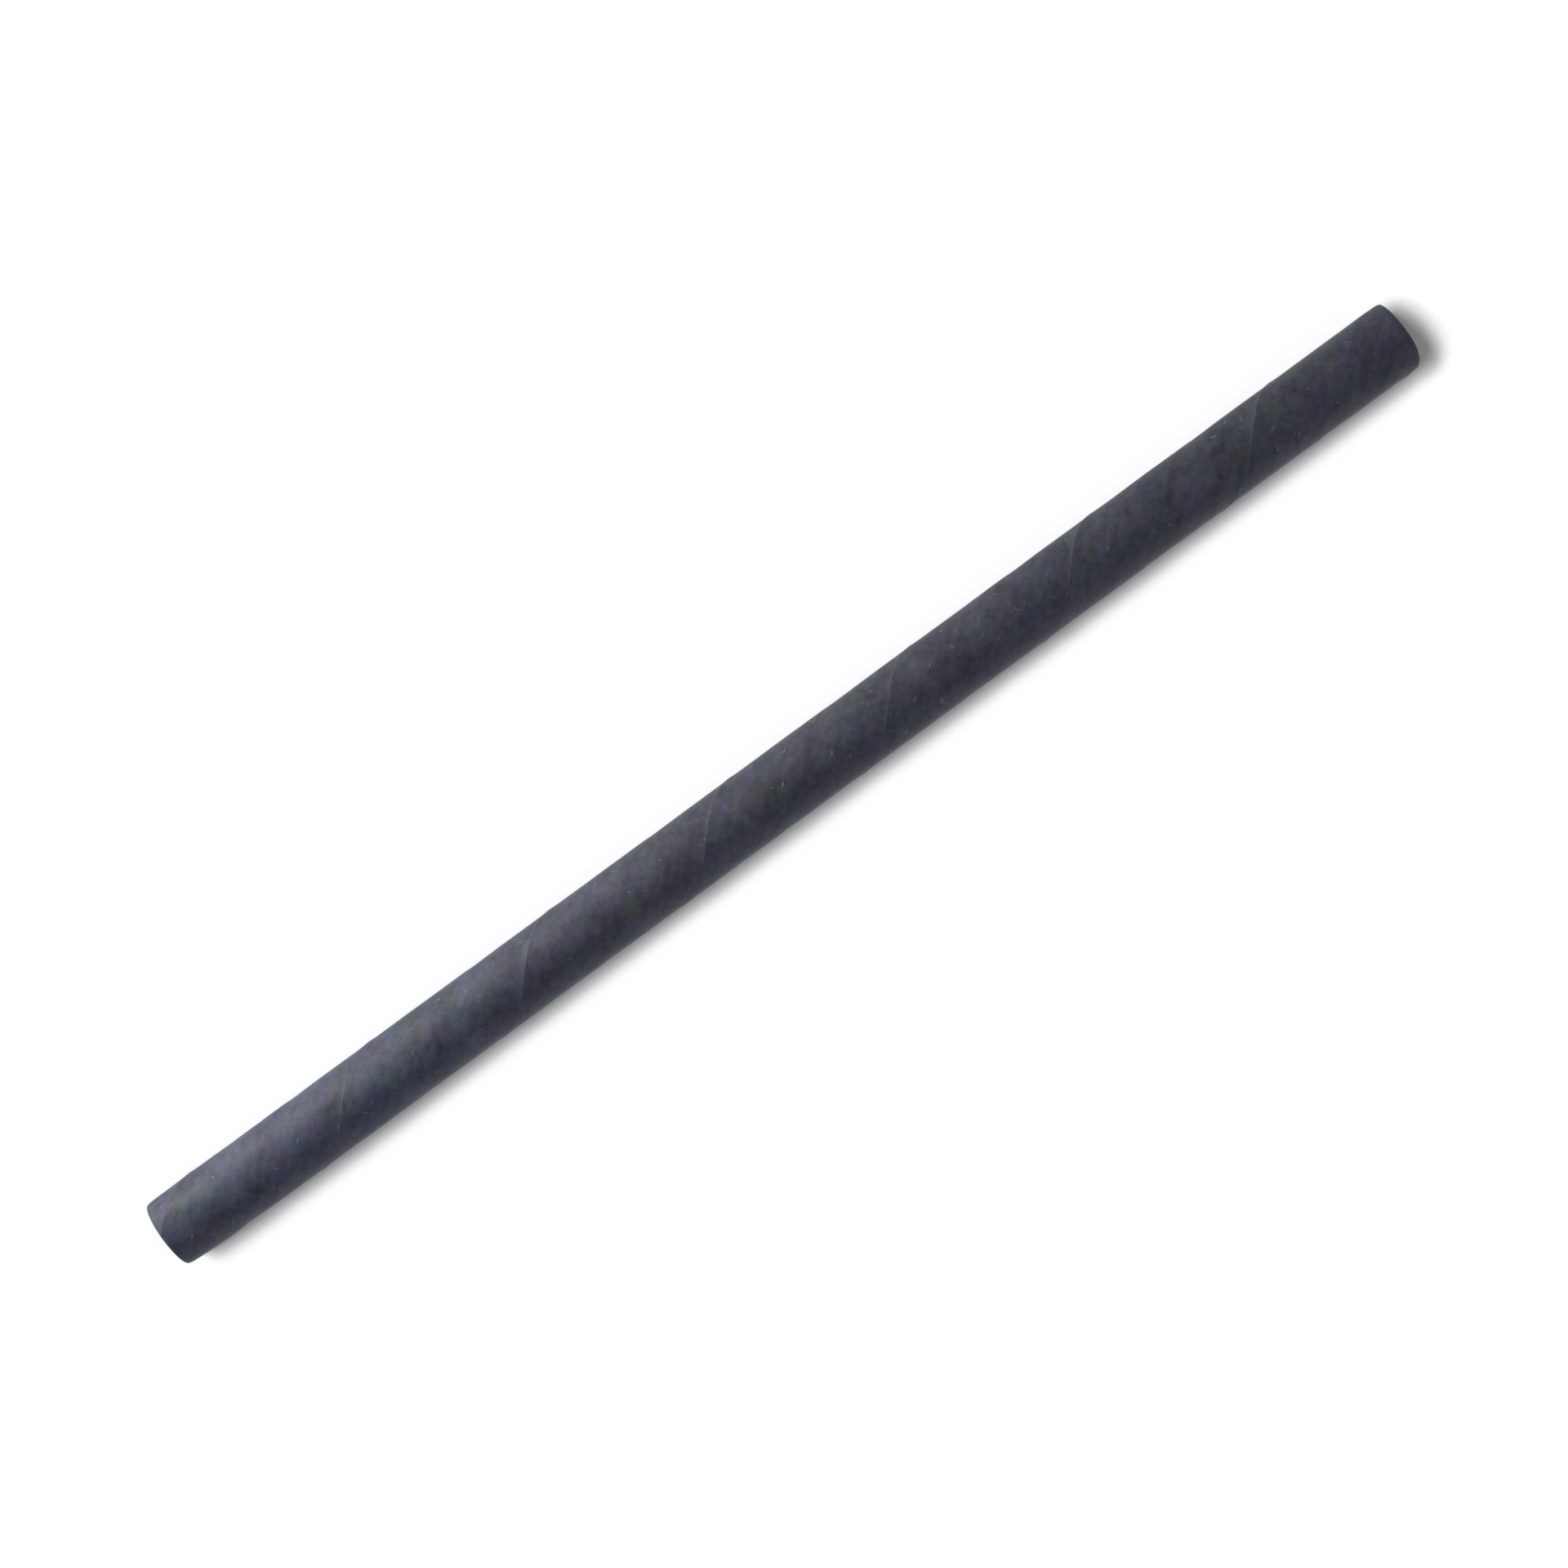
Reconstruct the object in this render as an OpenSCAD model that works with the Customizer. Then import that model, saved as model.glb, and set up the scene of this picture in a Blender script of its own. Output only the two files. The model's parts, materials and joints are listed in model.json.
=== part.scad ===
// Spiral-wound paper drinking straw.
// It lies along X with its lowest line on the ground and the middle of its length at the origin.
// Seen from above, the joints of the winding lean from the near left to the far right.

/* [Tube] */
// Length of the straw between its two cut ends
length = 200; // [60:1:300]
// Diameter of the bore, which is that of the mandrel the paper is wound on
bore_d = 9; // [5:0.1:14]
// Thickness of one inner ply of paper with its glue
inner_ply_t = 0.18; // [0.12:0.01:0.3]
// Number of inner plies wound over one another
inner_plies = 2; // [2:1:4]
// Thickness of the outer ply of thin dyed paper
outer_ply_t = 0.09; // [0.07:0.01:0.2]

/* [Winding] */
// Advance of the paper strips along the straw in one turn
pitch = 29.25; // [18:0.25:60]
// Place where the free edge of the outer ply crosses the top, from the middle of the straw
lap_at = 16.65; // [-30:0.05:30]
// Length of straw over which the outer ply rises where it laps over its last turn
lap_w = 1.6; // [0.8:0.1:4]
// Height that the free edge keeps over the wall where the straw lies on it and presses it flat
pressed_h = 0.02; // [0.01:0.005:0.05]

/* [Joint of the ply underneath] */
// Distance of that joint from the free edge, as a share of one turn
joint_share = 0.544; // [0.2:0.001:0.8]
// Length of straw over which the outer ply sinks into the joint
joint_w = 1.6; // [0.8:0.1:4]
// Depth of the sunk line below the wall
joint_depth = 0.05; // [0.03:0.01:0.08]

/* [Joint of the inner ply] */
// Distance of the inner joint from the free edge, as a share of one turn
inner_share = 0.393; // [0.1:0.001:0.9]
// Width of the gap between two turns of the inner ply, which is as deep as that ply
inner_gap = 0.6; // [0.3:0.1:1.5]

/* [Hidden] */
bore_r = bore_d / 2;
outer_r = bore_r + inner_plies * inner_ply_t + outer_ply_t;
// Radius at the free edge, which lies on its own last turn
edge_r = outer_r + outer_ply_t;
// Height of the axis over the ground
rest_r = outer_r + pressed_h;
// Facets of the helical surfaces in one turn, a multiple of four so that one ring is right at the bottom
steps = 36;
// Height over the wall that keeps the middle of a facet clear of it
start_h = 1.6 * outer_r * (1 - cos(180 / steps));
// How far a cut or a bar runs past what it meets, so that no two faces coincide
past = 0.3;
tube_fn = 96;

// A point of the winding, so far along the straw, at this angle from the top and at this radius
function on_turn(along, angle, radius) = [along, radius * sin(angle), radius * cos(angle)];

// A closed bar wound round the straw from beyond one end to beyond the other.
// Its section is a list of [distance along the straw, radius], and it crosses the top at x = start.
module wound_bar(section, start) {
  count = len(section);
  reach = max([for (s = section) abs(s[0])]) + past;
  first = floor((-length / 2 - reach - start) / pitch * steps);
  last = ceil((length / 2 + reach - start) / pitch * steps);
  rings = last - first + 1;
  points = [
    for (i = [first : last], s = section)
      on_turn(start + pitch * i / steps + s[0], 360 * i / steps, s[1])
  ];
  sides = [
    for (i = [0 : rings - 2], k = [0 : count - 1])
      let (a = i * count + k, b = i * count + (k + 1) % count)
      each [[a, a + count, b], [b, a + count, b + count]]
  ];
  near_end = [for (k = [0 : count - 1]) k];
  far_end = [for (k = [count - 1 : -1 : 0]) (rings - 1) * count + k];
  polyhedron(points, concat(sides, [near_end, far_end]));
}

// A round bar along the straw's axis, which runs past both cut ends
module along_axis(radius, extra = past) {
  rotate([0, 90, 0])
    cylinder(r = radius, h = length + 2 * extra, center = true, $fn = tube_fn);
}

// The outer ply rises gently, then lifts more steeply to its free edge and drops straight to the wall
module lapped_edge() {
  wound_bar([
    [-lap_w, outer_r - outer_ply_t],
    [-lap_w, outer_r + start_h],
    [-lap_w / 3, outer_r + outer_ply_t / 2],
    [0, edge_r],
    [0, outer_r - outer_ply_t]
  ], lap_at);
}

// The outer ply sinks a little into the gap between two turns of the ply underneath
module sunk_joint() {
  wound_bar([
    [-joint_w / 2, outer_r + past],
    [joint_w / 2, outer_r + past],
    [joint_w / 2, outer_r + start_h],
    [0, outer_r - joint_depth],
    [-joint_w / 2, outer_r + start_h]
  ], lap_at + joint_share * pitch);
}

// The gap between two turns of the inner ply, open to the bore
module inner_joint() {
  wound_bar([
    [-inner_gap / 2, bore_r - past],
    [-inner_gap / 2, bore_r + inner_ply_t],
    [inner_gap / 2, bore_r + inner_ply_t],
    [inner_gap / 2, bore_r - past]
  ], lap_at + inner_share * pitch);
}

// The plies glued into one tube, a little longer than the straw
module winding() {
  difference() {
    union() {
      along_axis(outer_r);
      lapped_edge();
    }
    sunk_joint();
    along_axis(bore_r, 2 * past);
    inner_joint();
  }
}

// The straw is what two square cuts leave of the winding, with its free edge pressed flat at the ground
module paper_tube() {
  color("#4b4e59")
    translate([0, 0, rest_r])
      intersection() {
        winding();
        translate([-length / 2, -2 * edge_r, -rest_r])
          cube([length, 4 * edge_r, 4 * edge_r]);
      }
}

paper_tube();
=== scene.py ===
"""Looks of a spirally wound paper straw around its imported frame. Lengths are in metres, angles in radians."""

import json
import math

import bmesh
import bpy
import numpy as np
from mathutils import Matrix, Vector


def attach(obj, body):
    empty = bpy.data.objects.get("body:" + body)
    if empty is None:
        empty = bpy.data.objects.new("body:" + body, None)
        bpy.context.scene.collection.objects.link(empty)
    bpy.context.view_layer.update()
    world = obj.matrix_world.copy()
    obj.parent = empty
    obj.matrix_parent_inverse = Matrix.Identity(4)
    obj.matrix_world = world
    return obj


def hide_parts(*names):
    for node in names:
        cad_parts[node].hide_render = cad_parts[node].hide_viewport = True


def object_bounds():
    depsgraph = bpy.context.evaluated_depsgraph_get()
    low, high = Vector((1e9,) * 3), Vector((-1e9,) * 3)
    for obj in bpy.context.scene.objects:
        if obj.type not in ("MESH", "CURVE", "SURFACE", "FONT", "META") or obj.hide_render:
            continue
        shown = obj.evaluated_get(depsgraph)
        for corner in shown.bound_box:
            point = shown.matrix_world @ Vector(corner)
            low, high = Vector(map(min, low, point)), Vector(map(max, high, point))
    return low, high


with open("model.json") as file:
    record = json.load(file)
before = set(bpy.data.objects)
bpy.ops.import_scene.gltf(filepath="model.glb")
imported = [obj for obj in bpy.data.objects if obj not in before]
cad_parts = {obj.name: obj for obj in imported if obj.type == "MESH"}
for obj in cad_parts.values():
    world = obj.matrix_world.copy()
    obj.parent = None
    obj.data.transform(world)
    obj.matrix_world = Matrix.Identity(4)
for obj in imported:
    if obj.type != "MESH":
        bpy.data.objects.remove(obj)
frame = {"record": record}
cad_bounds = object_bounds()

MM = 0.001

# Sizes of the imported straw
mounts = {m["name"]: m for m in frame["record"]["mounts"]}
BORE_R = mounts["bore"]["dims"]["r_mm"] * MM
OUTER_R = mounts["outer_wall"]["dims"]["r_mm"] * MM
AXIS_Z = mounts["bore"]["pos_m"][2]
HALF_LENGTH = (cad_bounds[1].x - cad_bounds[0].x) / 2
EDGE_R = cad_bounds[1].y
OUTER_PLY_T = EDGE_R - OUTER_R
INNER_PLY_T = (OUTER_R - BORE_R - OUTER_PLY_T) / 2

# The winding, as in the part's source
PITCH = 29.25 * MM
LAP_AT = 16.65 * MM
JOINT_SHARE = 0.544
JOINT_W = 1.6 * MM
JOINT_DEPTH = 0.05 * MM
INNER_SHARE = 0.393
INNER_GAP = 0.6 * MM

# Steps in one turn of the outside and of the bore, and how far apart the bore's columns are
OUTSIDE_STEPS = 128
BORE_STEPS = 72
BORE_SPACING = 1.6 * MM

# Where the outside is softer than in the source: past the free edge, over the inner joint and past the
# sunk joint. Up to the free edge it rises by this power
AFTER_W = 2.4 * MM
AFTER_H = 0.055 * MM
UNDER_W = 2.4 * MM
UNDER_DEPTH = 0.014 * MM
JOINT_BACK = 4.6 * MM
CREST_W = 1.4 * MM
CREST_H = 0.075 * MM
CREST_POWER = 2.2

# The paper's unevenness. The outside is sunk a little, so that it stays within the wall of the source
WAVES = 18
WAVE_H = 0.009 * MM
LONGEST_WAVE = 24 * MM
SHORTEST_WAVE = 5 * MM
SUNK_BY = 0.006 * MM

# How far the outside draws in before each cut, over what length, and where that length is sliced
END_IN = 0.13 * MM
END_W = 0.8 * MM
END_SLICES = (0.2, 0.4, 0.6, 0.8, 1.0)

# The rims are rounded over this length, and by this share of it towards the middle of the wall
RIM_W = 0.05 * MM
RIM_SHARE = 0.6

# How far back the ragged cuts reach, and of how many waves they are made
LEFT_RAGGED = (0.03 * MM, 12)
RIGHT_RAGGED = (0.08 * MM, 18)

# The left end is pressed in a little on its shaded side
PRESSED_LENGTH = 7 * MM
PRESSED_IN = 0.32 * MM
PRESSED_POWER = 1.5

# The right end is set back at its shaded corner, which lies this far round from the top
CORNER_LENGTH = 3 * MM
CORNER_BACK = 0.5 * MM
CORNER_AT = math.radians(-80)
CORNER_POWER = 6

# Edges sharper than this stay crisp
SHARP_ANGLE = math.radians(35)

# Patterns of the paper: scale along and across the strip, offset in millimetres, detail and roughness
BLOTCHES = (0.12, 0.13, 3, 5, 0.78)
FELT_ALONG = (0.48, 1.0, 31, 4, 0.62)
FELT_ACROSS = (1.1, 0.5, 57, 4, 0.62)
GRAIN = (5.0, 7.0, 11, 3, 0.65)
TINTS = (0.31, 0.42, 90, 3, 0.6)
BENDS = (0.9, 0.9, 13, 2, 0.5)
SEAM_CHANGES = (0.15, 0.05, 77, 1, 0.5)

# How much each pattern changes the paper's tone or hue, or bends the pale fibres in millimetres. The felt
# along and across the strip is mixed in these shares
BLOTCH_TONE = 1.85
FELT_SHARES = (0.6, 0.4)
FELT_TONE = 2.05
GRAIN_TONE = 0.7
TINT_HUE = 0.9
BEND_BY = 0.9
# How much the seams' painted shade and highlight vary along the strip
SEAM_CHANGE = 3.2

# Pale fibres: offset, scale along and across the strip, share of cells that have one, and size
PALE_ALONG = ((5, 8, 0), (0.42, 2.4, 1), 0.14, 0.27)
PALE_ACROSS = ((70, 41, 0), (2.4, 0.55, 1), 0.07, 0.27)

# Tone of the paper by its distance along the straw after the free edge, in millimetres: painted shade past the
# free edge and at both joints, where the relief turns away from the light, and a painted highlight on the crest
# before the free edge
SEAM_PAINTED_LIGHT = (
    (0.0, 1.0), (0.3, 0.975), (0.9, 0.945), (1.7, 0.965), (3.2, 0.995), (8.0, 0.99), (9.9, 1.015),
    (10.9, 1.0), (11.7, 0.975), (12.7, 1.012), (14.5, 1.0), (15.3, 0.975), (16.1, 0.945), (17.1, 0.985),
    (18.5, 1.0), (20.8, 1.015), (22.5, 0.995), (24.5, 0.98), (27.2, 0.98), (28.1, 1.0), (28.7, 1.05),
    (29.25, 1.075),
)
SEAM_LOW = 0.9
SEAM_SPAN = 0.2

# Colours of the paper. The dye is a little bluer at the left, and changes from there to the middle
DYE_LEFT = (0.080, 0.091, 0.137, 1)
DYE_RIGHT = (0.081, 0.085, 0.117, 1)
DYE_CHANGES = (-0.09, 0.01)
PALE_FIBRE = (0.26, 0.28, 0.32, 1)
PALE_STRENGTH = 0.8
# A patchy painted highlight on the crest along the free edge: its colour, strength and width in millimetres
CREST_HIGHLIGHT = (0.20, 0.21, 0.235, 1)
CREST_HIGHLIGHT_STRENGTH = 0.5
CREST_HIGHLIGHT_MM = 0.16
# Colour of the cut faces, also used for the painted highlight on the rims beside them
CUT_PAPER_AND_RIM_HIGHLIGHT = (0.18, 0.185, 0.21, 1)

# Where the cut faces and the painted highlight on the rims begin and are full, as distances from the end, and
# how many times a metre the patterns on them repeat
FACE_FROM, FACE_FULL = 0.10 * MM, 0.04 * MM
RIM_FROM, RIM_FULL = 0.45 * MM, 0.12 * MM
PLIES_PER_METRE = 3000
RIM_HIGHLIGHT_PER_METRE = 700

# Relief and surface of the paper
RELIEF = 0.06 * MM
GRAIN_RELIEF = 0.4
PALE_RELIEF = 0.6
ROUGHNESS = 0.62
ROUGHNESS_CHANGE = 0.3
SHEEN = 0.3
SHEEN_ROUGHNESS = 0.35

# The key lamp near the left end lights the straw alone
KEY_AT = (-0.132, 0.163, 0.076)
KEY_TARGET = (-0.02, 0, AXIS_Z)
KEY_SIZE = (0.10, 0.04)
KEY_POWER = 0.318
KEY_COLOR = (1.02, 1, 0.93)

# A broad lamp over the left end lights the floor. It is made of soft discs: how many degrees each leans
# along and across the straw, and its strength
FLOOR_DISCS = ((24, 20, 1.21), (31, 12.4, 1.07), (27, 2, 0.66))
DISC_ANGLE = math.radians(13)
SKY_COLOR = (0.98, 1, 1.10)
SKY_STRENGTH = 0.26

# The floor as it lights the straw, and as the camera sees it
FLOOR_HALF = 30.0
FLOOR_BOUNCE = (0.54, 0.53, 0.492, 1)
FLOOR_SEEN = (1, 0.98, 0.90, 1)

# The photograph's frame, the straw's lean in it and the camera
IMAGE_PX = 1920
STRAW_LEAN = math.radians(36.2)
SENSOR_MM = 36
CAMERA_HEIGHT = 0.470
CAMERA_OFF = 0.11 * MM
PX_PER_METRE_AT_TOP = 9437.5

rng = np.random.default_rng(7)


def unevenness(waves, x, angle):
    """Height of the paper over a true tube: a sum of waves that close round the tube."""
    height = np.zeros(np.broadcast(x, angle).shape)
    for size, per_metre, round_count, phase in waves:
        height += size * np.cos(per_metre * x + round_count * angle + phase)
    return height


def random_waves(count, size, longest, shortest):
    """Waves of random direction, each with a whole number of crests round the tube."""
    waves = []
    for _ in range(count):
        length = math.exp(rng.uniform(math.log(shortest), math.log(longest)))
        direction = rng.uniform(0, math.tau)
        round_count = round(math.tau * OUTER_R / length * math.sin(direction))
        per_metre = math.tau / length * math.cos(direction)
        waves.append((size * length / longest, per_metre, round_count, rng.uniform(0, math.tau)))
    return waves


def wound_surface(columns, start, steps, waves, radius):
    """A strip wound from beyond one end of the straw to beyond the other.

    columns are (distance along the straw from the strip's own edge, radius). The last one meets the first
    of the next turn. Returns points, faces and, for each corner of a face, its place in the flat strip in
    millimetres.
    """
    first = math.floor((-HALF_LENGTH - PITCH - start) / PITCH * steps) - 1
    last = math.ceil((HALF_LENGTH - start) / PITCH * steps) + 1
    turn = np.arange(first, last + 1)[:, None] / steps
    w = np.array([c[0] for c in columns])[None, :]
    x = start + PITCH * turn + w
    angle = np.broadcast_to(math.tau * turn, x.shape)
    r = np.array([c[1] for c in columns])[None, :]
    if waves:
        r = np.minimum(r + unevenness(waves, x, angle) - SUNK_BY, EDGE_R)
    z = np.maximum(AXIS_Z + r * np.cos(angle), 0)
    points = np.stack([x, r * np.sin(angle), z], axis=-1).reshape(-1, 3)
    index = np.arange(x.size).reshape(x.shape)
    turn_length = math.hypot(PITCH, math.tau * radius)
    along = PITCH / turn_length * w + turn_length * turn
    across = np.broadcast_to(math.tau * radius / turn_length * w, x.shape)
    place = np.stack([along, across], axis=-1) / MM

    def corners(grid):
        return grid[:-1, :-1], grid[:-1, 1:], grid[1:, 1:], grid[1:, :-1]

    edge = place[:, -1]
    foot = edge + (0, OUTER_PLY_T / MM)
    step = (index[: -steps - 1, -1], index[steps:-1, 0], index[steps + 1 :, 0], index[1:-steps, -1])
    step_place = (edge[: -steps - 1], foot[: -steps - 1], foot[1:-steps], edge[1:-steps])
    faces = [np.stack(corners(index), axis=-1).reshape(-1, 4), np.stack(step, axis=-1)]
    places = [np.stack(corners(place), axis=-2).reshape(-1, 4, 2), np.stack(step_place, axis=-2)]
    return points, np.concatenate(faces), np.concatenate(places)


def spaced(low, high, step):
    """Evenly spaced values from low up to, but not including, high."""
    return list(np.linspace(low, high, max(1, round((high - low) / step)), endpoint=False))


def smooth(t):
    """From 0 to 1 with a level start and end."""
    t = min(max(t, 0), 1)
    return t * t * (3 - 2 * t)


def outer_columns():
    """Section of the outer ply from just past its free edge to the free edge of the next turn."""
    joint = JOINT_SHARE * PITCH
    joint_from, joint_to = joint - JOINT_W / 2, joint + JOINT_W / 2
    joint_end = joint_to + JOINT_BACK
    under = INNER_SHARE * PITCH
    under_from, under_to = under - UNDER_W / 2, under + UNDER_W / 2
    lap = PITCH - CREST_W
    # Where each span of columns starts and ends, and how many millimetres apart they are in it
    spans = (
        (0, AFTER_W, 0.17), (AFTER_W, under_from, 0.8), (under_from, under_to, 0.4),
        (under_to, joint_from, 0.8), (joint_from, joint_to, 0.16), (joint_to, joint_end, 0.5),
        (joint_end, lap, 0.8), (lap, PITCH, 0.13),
    )
    places = [w for low, high, step in spans for w in spaced(low, high, step * MM)] + [PITCH]
    columns = []
    for w in places:
        height = AFTER_H * max(0, 1 - w / AFTER_W) ** 2
        if abs(w - under) < UNDER_W / 2:
            height -= UNDER_DEPTH * math.cos(math.pi * (w - under) / UNDER_W) ** 2
        height -= JOINT_DEPTH * smooth((w - joint_from) / JOINT_W) * (1 - smooth((w - joint_to) / JOINT_BACK))
        if w > lap:
            height += CREST_H * ((w - lap) / CREST_W) ** CREST_POWER
        columns.append((w, OUTER_R + height))
    return columns


def inner_columns():
    """Section of the inner ply: the gap between two turns, then the ply itself."""
    gap = [(0, BORE_R + INNER_PLY_T), (INNER_GAP, BORE_R + INNER_PLY_T)]
    ply = [(w, BORE_R) for w in spaced(INNER_GAP, PITCH, BORE_SPACING)]
    return gap + ply + [(PITCH, BORE_R)]


def slice_across(bm, side, at, remove):
    """Splits the faces at x = side * at, and removes what lies beyond if told to."""
    everything = bm.verts[:] + bm.edges[:] + bm.faces[:]
    bmesh.ops.bisect_plane(
        bm, geom=everything, dist=1e-9, plane_co=(side * at, 0, 0), plane_no=(side, 0, 0), clear_outer=remove
    )


def axis_distance(vert):
    return math.hypot(vert.co.y, vert.co.z - AXIS_Z)


def set_axis_distance(vert, r):
    factor = r / axis_distance(vert)
    vert.co.y *= factor
    vert.co.z = AXIS_Z + (vert.co.z - AXIS_Z) * factor


def press_side(vert):
    """Moves a point near the left end inwards, the most where the wall faces -y."""
    along = (PRESSED_LENGTH - HALF_LENGTH - vert.co.x) / PRESSED_LENGTH
    if along > 0 > vert.co.y:
        vert.co.y += PRESSED_IN * along**PRESSED_POWER * (vert.co.y / OUTER_R) ** 2


def set_back_corner(vert):
    """Moves a point near the right end back, the most at the worn corner."""
    along = (CORNER_LENGTH - HALF_LENGTH + vert.co.x) / CORNER_LENGTH
    facing = math.cos(math.atan2(vert.co.y, vert.co.z - AXIS_Z) - CORNER_AT)
    if along > 0 and facing > 0:
        vert.co.x -= CORNER_BACK * along * facing**CORNER_POWER


def cut_end(bm, side, ragged):
    """Cuts one end square, draws it in, rounds both rims and closes the wall's end face."""
    middle = (BORE_R + OUTER_R) / 2
    cut_at = HALF_LENGTH - RIM_W
    slice_across(bm, side, cut_at, True)
    for share in END_SLICES:
        slice_across(bm, side, HALF_LENGTH - share * END_W, False)
    for v in bm.verts:
        past = (side * v.co.x - HALF_LENGTH) / END_W + 1
        if past > 0 and axis_distance(v) > middle:
            set_axis_distance(v, axis_distance(v) - END_IN * past**2)
    open_edges = [e for e in bm.edges if e.is_boundary and abs(e.verts[0].co.x - side * cut_at) < 1e-6]
    rims = []
    for outside in (True, False):
        loop = [e for e in open_edges if (axis_distance(e.verts[0]) > middle) == outside]
        grown = bmesh.ops.extrude_edge_only(bm, edges=loop)["geom"]
        for v in (g for g in grown if isinstance(g, bmesh.types.BMVert)):
            angle = math.atan2(v.co.y, v.co.z - AXIS_Z)
            set_axis_distance(v, axis_distance(v) + (-RIM_W if outside else RIM_W) * RIM_SHARE)
            v.co.x = side * (HALF_LENGTH - ragged(angle))
        rims += [g for g in grown if isinstance(g, bmesh.types.BMEdge)]
    bmesh.ops.bridge_loops(bm, edges=rims)


def ragged_edge(depth, count):
    """How far back the cut lies at each angle, from 0 to depth."""
    waves = [(rng.uniform(0.3, 1), int(rng.integers(2, 40)), rng.uniform(0, math.tau)) for _ in range(count)]
    total = sum(w[0] for w in waves)

    def at(angle):
        return depth * (0.5 + 0.5 * sum(a * math.cos(n * angle + p) for a, n, p in waves) / total)

    return at


def make_straw():
    """The whole wall as one closed mesh: wound outside, wound bore and two cut ends."""
    waves = random_waves(WAVES, WAVE_H, LONGEST_WAVE, SHORTEST_WAVE)
    outside, outside_faces, outside_places = wound_surface(
        outer_columns(), LAP_AT, OUTSIDE_STEPS, waves, OUTER_R
    )
    inside, inside_faces, inside_places = wound_surface(
        inner_columns(), LAP_AT + INNER_SHARE * PITCH, BORE_STEPS, [], BORE_R
    )
    mesh = bpy.data.meshes.new("wound_straw")
    points = np.concatenate([outside, inside])
    faces = np.concatenate([outside_faces, inside_faces[:, ::-1] + len(outside)])
    places = np.concatenate([outside_places, inside_places[:, ::-1]])
    mesh.from_pydata(points.tolist(), [], faces.tolist())
    mesh.uv_layers.new(name="strip").data.foreach_set("uv", places.ravel())
    bm = bmesh.new()
    bm.from_mesh(mesh)
    cut_end(bm, -1, ragged_edge(*LEFT_RAGGED))
    cut_end(bm, 1, ragged_edge(*RIGHT_RAGGED))
    for v in bm.verts:
        press_side(v)
        set_back_corner(v)
    bmesh.ops.recalc_face_normals(bm, faces=bm.faces[:])
    bm.to_mesh(mesh)
    bm.free()
    mesh.polygons.foreach_set("use_smooth", [True] * len(mesh.polygons))
    mesh.set_sharp_from_angle(angle=SHARP_ANGLE)
    straw = bpy.data.objects.new("wound_straw", mesh)
    bpy.context.collection.objects.link(straw)
    return straw


class Graph:
    """Short ways to add shader nodes. A value is a number, a tuple or the output of another node."""

    def __init__(self, tree):
        self.nodes, self.links = tree.nodes, tree.links

    def feed(self, socket, value):
        if isinstance(value, bpy.types.NodeSocket):
            self.links.new(value, socket)
        else:
            socket.default_value = value

    def math(self, operation, *values):
        node = self.nodes.new("ShaderNodeMath")
        node.operation = operation
        for socket, value in zip(node.inputs, values):
            self.feed(socket, value)
        return node.outputs[0]

    def vector(self, operation, first, second):
        node = self.nodes.new("ShaderNodeVectorMath")
        node.operation = operation
        self.feed(node.inputs[0], first)
        self.feed(node.inputs["Scale" if operation == "SCALE" else 1], second)
        return node.outputs[0]

    def split(self, vector):
        """The three parts of a vector."""
        node = self.nodes.new("ShaderNodeSeparateXYZ")
        self.feed(node.inputs[0], vector)
        return node.outputs

    def texture(self, vector, detail, rough):
        node = self.nodes.new("ShaderNodeTexNoise")
        self.feed(node.inputs["Vector"], vector)
        node.inputs["Scale"].default_value = 1
        node.inputs["Detail"].default_value = detail
        node.inputs["Roughness"].default_value = rough
        return node

    def noise(self, vector, detail, rough):
        """Noise about zero, mostly between -0.3 and 0.3."""
        return self.math("SUBTRACT", self.texture(vector, detail, rough).outputs["Fac"], 0.5)

    def ramp(self, value, low, high, to_low=0.0, to_high=1.0):
        node = self.nodes.new("ShaderNodeMapRange")
        node.interpolation_type = "SMOOTHSTEP"
        for socket, v in zip(node.inputs, (value, low, high, to_low, to_high)):
            self.feed(socket, v)
        return node.outputs[0]

    def mix(self, factor, first, second):
        node = self.nodes.new("ShaderNodeMix")
        node.data_type = "RGBA"
        self.feed(node.inputs["Factor"], factor)
        self.feed(node.inputs[6], first)
        self.feed(node.inputs[7], second)
        return node.outputs[2]

    def fibres(self, strip, offset, scale, share, size):
        """Short fibres, one in a share of the cells of a stretched pattern, each of its own strength."""
        cells = self.nodes.new("ShaderNodeTexVoronoi")
        cells.inputs["Scale"].default_value = 1
        moved = self.vector("ADD", strip, offset)
        self.feed(cells.inputs["Vector"], self.vector("MULTIPLY", moved, scale))
        cell = self.nodes.new("ShaderNodeSeparateColor")
        self.links.new(cells.outputs["Color"], cell.inputs[0])
        strength = self.ramp(cell.outputs[0], 1 - share, 1.0)
        return self.math("MULTIPLY", strength, self.ramp(cells.outputs["Distance"], size, size * 0.45))


def painted_seam_light(g, across, changes):
    """The painted shade and highlight that the seams add to the tone, by the distance across the strip."""
    seams = g.nodes.new("ShaderNodeValToRGB")
    ramp = seams.color_ramp
    ramp.interpolation = "EASE"
    for w, level in SEAM_PAINTED_LIGHT:
        at = w * MM / PITCH
        stop = ramp.elements[0] if at == 0 else ramp.elements[-1] if at == 1 else ramp.elements.new(at)
        stop.color = 3 * [(level - SEAM_LOW) / SEAM_SPAN] + [1]
    g.feed(seams.inputs[0], across)
    strength = g.math("MULTIPLY_ADD", changes, SEAM_CHANGE, 1.0)
    return g.math("MULTIPLY", g.math("MULTIPLY_ADD", seams.outputs[0], SEAM_SPAN, SEAM_LOW - 1), strength)


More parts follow.
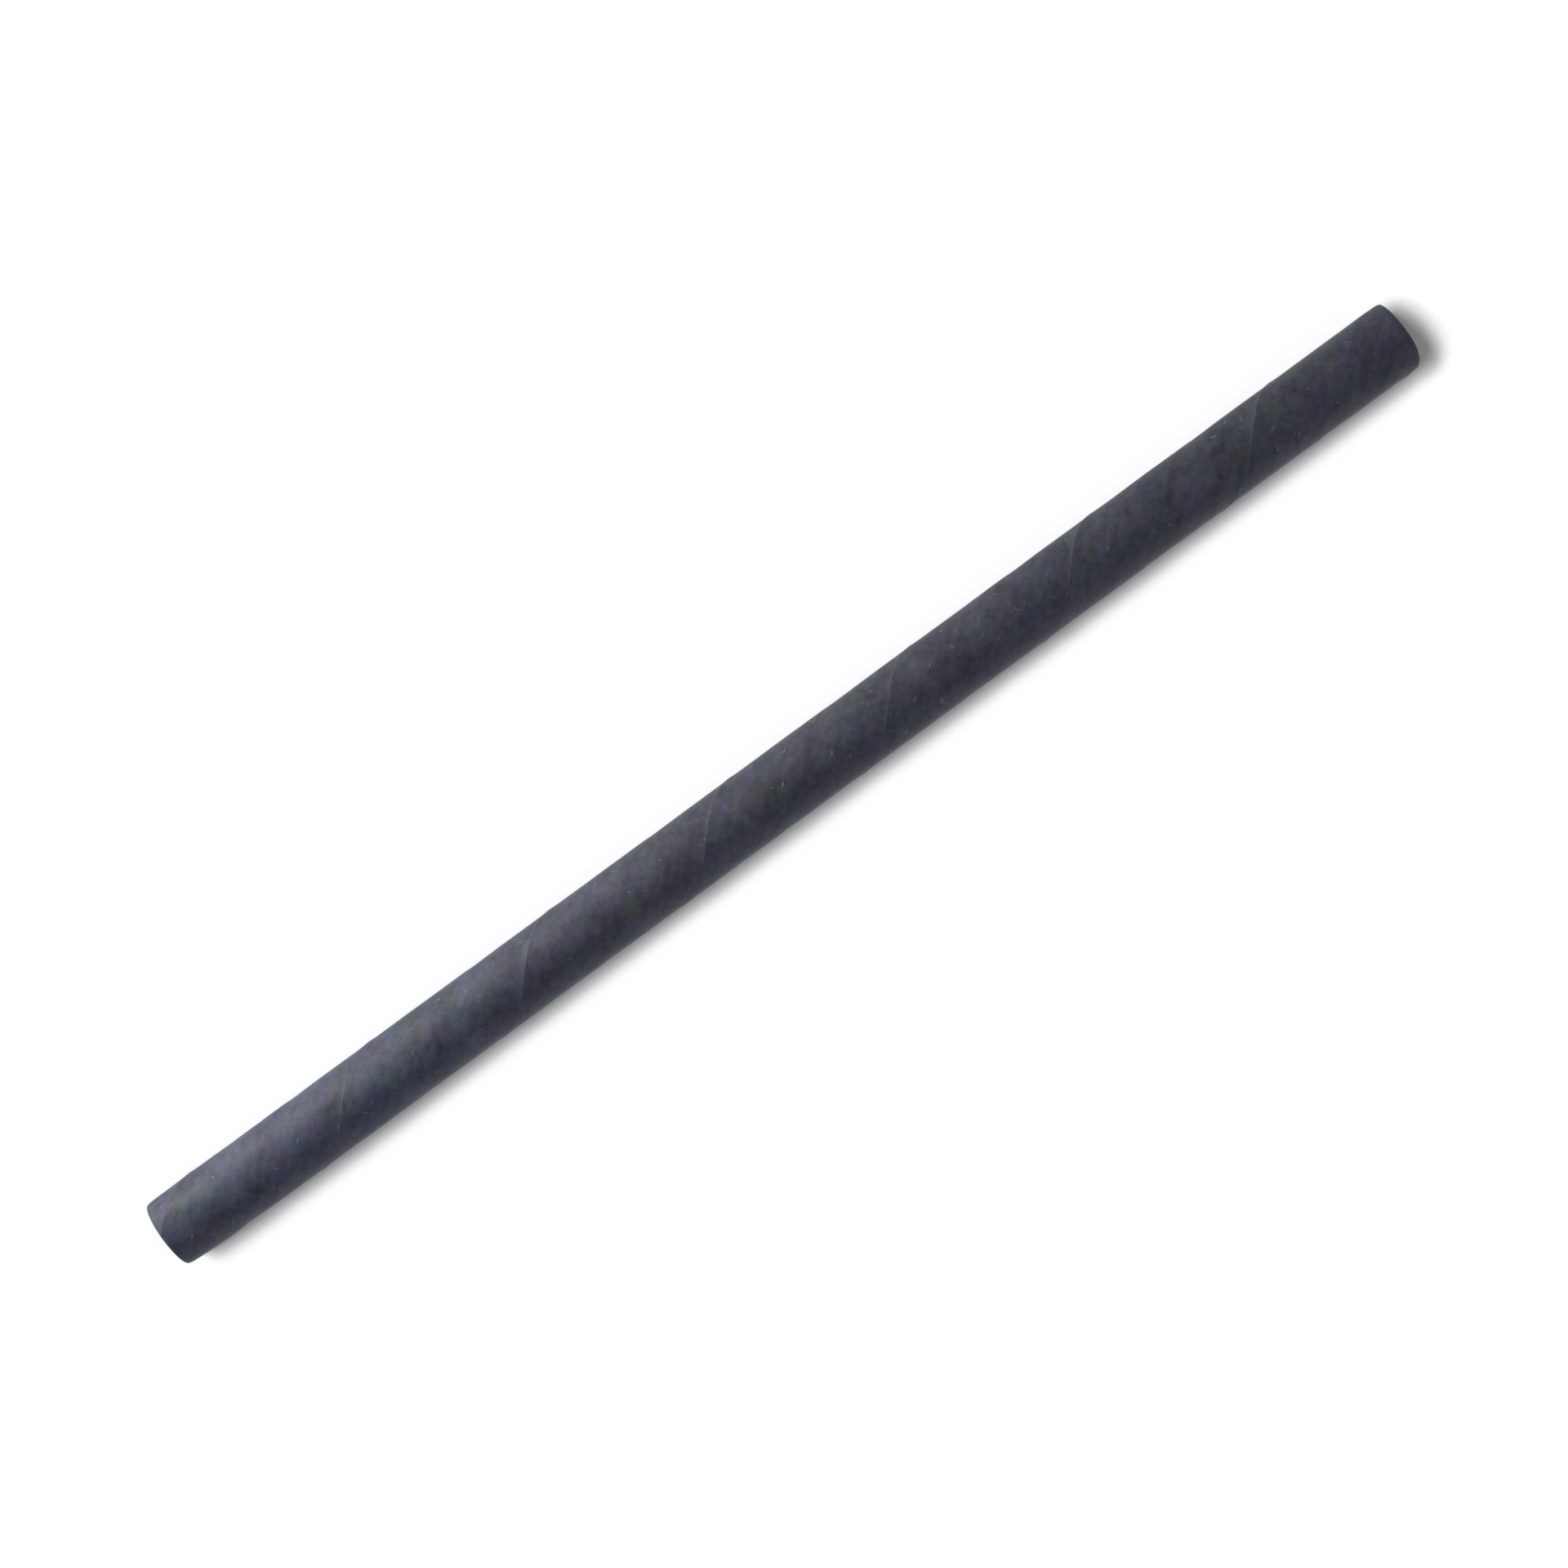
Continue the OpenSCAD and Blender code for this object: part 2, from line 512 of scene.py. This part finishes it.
def cut_faces_and_rim_highlight(g, place, from_middle):
    """How pale the wall's cut faces are, and the painted highlight on the rims beside them."""
    plies = g.noise(g.vector("MULTIPLY", place, (PLIES_PER_METRE,) * 3), 3, 0.6)
    rim_highlight_noise = g.noise(g.vector("MULTIPLY", place, (RIM_HIGHLIGHT_PER_METRE,) * 3), 2, 0.6)
    on_face = g.ramp(from_middle, HALF_LENGTH - FACE_FROM, HALF_LENGTH - FACE_FULL)
    on_rim = g.ramp(from_middle, HALF_LENGTH - RIM_FROM, HALF_LENGTH - RIM_FULL)
    cut_face = g.math("MULTIPLY", on_face, g.ramp(plies, -0.2, 0.3, 0.1, 0.5))
    rim_highlight_mix = g.math("MULTIPLY", on_rim, g.ramp(rim_highlight_noise, -0.12, 0.25, 0.0, 0.55))
    return g.math("MAXIMUM", cut_face, rim_highlight_mix)


def paper_material():
    """Dyed paper: soft blotches, felted fibres along and across the strip, and a few pale ones."""
    mat = bpy.data.materials.new("dark_paper")
    mat.use_nodes = True
    g = Graph(mat.node_tree)
    shader = mat.node_tree.nodes["Principled BSDF"]
    strip_map = g.nodes.new("ShaderNodeUVMap")
    strip_map.uv_map = "strip"
    strip = strip_map.outputs[0]
    across = g.split(strip)[1]
    strip_w = math.tau * OUTER_R / math.hypot(PITCH, math.tau * OUTER_R) * PITCH / MM
    place = g.nodes.new("ShaderNodeTexCoord").outputs["Object"]
    along_straw = g.split(place)[0]

    def on_strip(along, across, offset):
        return g.vector("MULTIPLY", g.vector("ADD", strip, (offset, offset, 0)), (along, across, 1))

    def pattern(along, across, offset, detail, rough):
        return g.noise(on_strip(along, across, offset), detail, rough)

    def colors(along, across, offset, detail, rough):
        return g.texture(on_strip(along, across, offset), detail, rough).outputs["Color"]

    blotches, grain = pattern(*BLOTCHES), pattern(*GRAIN)
    felt_along, felt_across = pattern(*FELT_ALONG), pattern(*FELT_ACROSS)
    felt = g.math("MULTIPLY_ADD", felt_along, FELT_SHARES[0], g.math("MULTIPLY", felt_across, FELT_SHARES[1]))
    tone = g.math("MULTIPLY_ADD", blotches, BLOTCH_TONE, 1.0)
    tone = g.math("MULTIPLY_ADD", felt, FELT_TONE, tone)
    tone = g.math("MULTIPLY_ADD", grain, GRAIN_TONE, tone)
    # Painted shade and highlight along the seams
    tone = g.math("ADD", tone, painted_seam_light(g, g.math("DIVIDE", across, strip_w), pattern(*SEAM_CHANGES)))
    tint = g.vector("ADD", g.vector("SCALE", colors(*TINTS), TINT_HUE), (1 - TINT_HUE / 2,) * 3)
    dye = g.mix(g.ramp(along_straw, *DYE_CHANGES), DYE_LEFT, DYE_RIGHT)
    color = g.vector("SCALE", g.vector("MULTIPLY", dye, tint), tone)

    bent = g.vector("ADD", strip, g.vector("SCALE", colors(*BENDS), BEND_BY))
    pale = g.math("MAXIMUM", g.fibres(bent, *PALE_ALONG), g.fibres(bent, *PALE_ACROSS))
    color = g.mix(g.math("MULTIPLY", pale, PALE_STRENGTH), color, PALE_FIBRE)
    # A patchy painted highlight on the crest along the free edge
    on_edge = g.ramp(across, strip_w - CREST_HIGHLIGHT_MM, strip_w)
    crest_highlight_mix = g.math("MULTIPLY", on_edge, g.ramp(felt_across, -0.2, 0.25, 0.0, CREST_HIGHLIGHT_STRENGTH))
    color = g.mix(crest_highlight_mix, color, CREST_HIGHLIGHT)
    # Cut faces, and a painted highlight on the rims beside the cuts
    color = g.mix(cut_faces_and_rim_highlight(g, place, g.math("ABSOLUTE", along_straw)), color, CUT_PAPER_AND_RIM_HIGHLIGHT)

    g.feed(shader.inputs["Base Color"], color)
    g.feed(shader.inputs["Roughness"], g.math("MULTIPLY_ADD", blotches, ROUGHNESS_CHANGE, ROUGHNESS))
    shader.inputs["Sheen Weight"].default_value = SHEEN
    shader.inputs["Sheen Roughness"].default_value = SHEEN_ROUGHNESS
    height = g.math("MULTIPLY_ADD", grain, GRAIN_RELIEF, felt)
    height = g.math("MULTIPLY_ADD", pale, PALE_RELIEF, height)
    bump = g.nodes.new("ShaderNodeBump")
    g.feed(bump.inputs["Height"], height)
    bump.inputs["Strength"].default_value = 1.0
    bump.inputs["Distance"].default_value = RELIEF
    g.feed(shader.inputs["Normal"], bump.outputs[0])
    return mat


def show_camera(tree, output, to_others, to_camera):
    """Lets the camera see one shader and everything else another."""
    path = tree.nodes.new("ShaderNodeLightPath")
    mix = tree.nodes.new("ShaderNodeMixShader")
    tree.links.new(path.outputs["Is Camera Ray"], mix.inputs["Fac"])
    tree.links.new(to_others.outputs[0], mix.inputs[1])
    tree.links.new(to_camera.outputs[0], mix.inputs[2])
    tree.links.new(mix.outputs[0], tree.nodes[output].inputs["Surface"])


def make_floor():
    h = FLOOR_HALF
    mesh = bpy.data.meshes.new("floor")
    mesh.from_pydata([(-h, -h, 0), (h, -h, 0), (h, h, 0), (-h, h, 0)], [], [(0, 1, 2, 3)])
    floor = bpy.data.objects.new("floor", mesh)
    bpy.context.collection.objects.link(floor)
    mat = bpy.data.materials.new("pale_floor")
    mat.use_nodes = True
    nodes = mat.node_tree.nodes
    nodes.remove(nodes["Principled BSDF"])
    bounce = nodes.new("ShaderNodeBsdfDiffuse")
    bounce.inputs["Color"].default_value = FLOOR_BOUNCE
    seen = nodes.new("ShaderNodeBsdfDiffuse")
    seen.inputs["Color"].default_value = FLOOR_SEEN
    show_camera(mat.node_tree, "Material Output", bounce, seen)
    mesh.materials.append(mat)
    return floor


def make_world():
    world = bpy.data.worlds.new("studio")
    bpy.context.scene.world = world
    world.use_nodes = True
    nodes = world.node_tree.nodes
    around = nodes["Background"]
    around.inputs["Color"].default_value = (*SKY_COLOR, 1)
    around.inputs["Strength"].default_value = SKY_STRENGTH
    behind = nodes.new("ShaderNodeBackground")
    behind.inputs["Color"].default_value = (1, 1, 1, 1)
    show_camera(world.node_tree, "World Output", around, behind)


def add_lamp(name, kind, towards, strength, color, receiver):
    """A lamp at the origin that lights this one object alone. Everything still casts its shadow."""
    lamp = bpy.data.lights.new(name, kind)
    lamp.energy = strength
    lamp.color = color
    o = bpy.data.objects.new(name, lamp)
    bpy.context.collection.objects.link(o)
    o.rotation_mode = "QUATERNION"
    o.rotation_quaternion = Vector(towards).to_track_quat("-Z", "Y")
    group = bpy.data.collections.new("lit_by_" + name)
    group.objects.link(receiver)
    o.light_linking.receiver_collection = group
    return o


def make_lamps(straw, floor):
    key = add_lamp("key", "AREA", Vector(KEY_TARGET) - Vector(KEY_AT), KEY_POWER, KEY_COLOR, straw)
    key.location = KEY_AT
    key.data.shape = "RECTANGLE"
    key.data.size, key.data.size_y = KEY_SIZE
    key.visible_camera = False
    for lean_along, lean_across, strength in FLOOR_DISCS:
        towards = (math.tan(math.radians(lean_along)), -math.tan(math.radians(lean_across)), -1)
        disc = add_lamp("floor_light", "SUN", towards, strength, SKY_COLOR, floor)
        disc.data.angle = DISC_ANGLE


def make_camera():
    """Straight above the straw's middle, turned so that the straw leans as in the photograph."""
    data = bpy.data.cameras.new("camera")
    data.sensor_width = SENSOR_MM
    focal_px = PX_PER_METRE_AT_TOP * (CAMERA_HEIGHT - AXIS_Z - OUTER_R)
    data.lens = focal_px * SENSOR_MM / IMAGE_PX
    camera = bpy.data.objects.new("camera", data)
    bpy.context.collection.objects.link(camera)
    camera.location = (0, CAMERA_OFF, CAMERA_HEIGHT)
    camera.rotation_euler = (0, 0, -STRAW_LEAN)
    bpy.context.scene.camera = camera


straw = make_straw()
straw.data.materials.append(paper_material())
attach(straw, "root")
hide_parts("paper_tube")

floor = make_floor()
make_lamps(straw, floor)
make_world()
make_camera()
bpy.context.scene.view_settings.view_transform = "Standard"
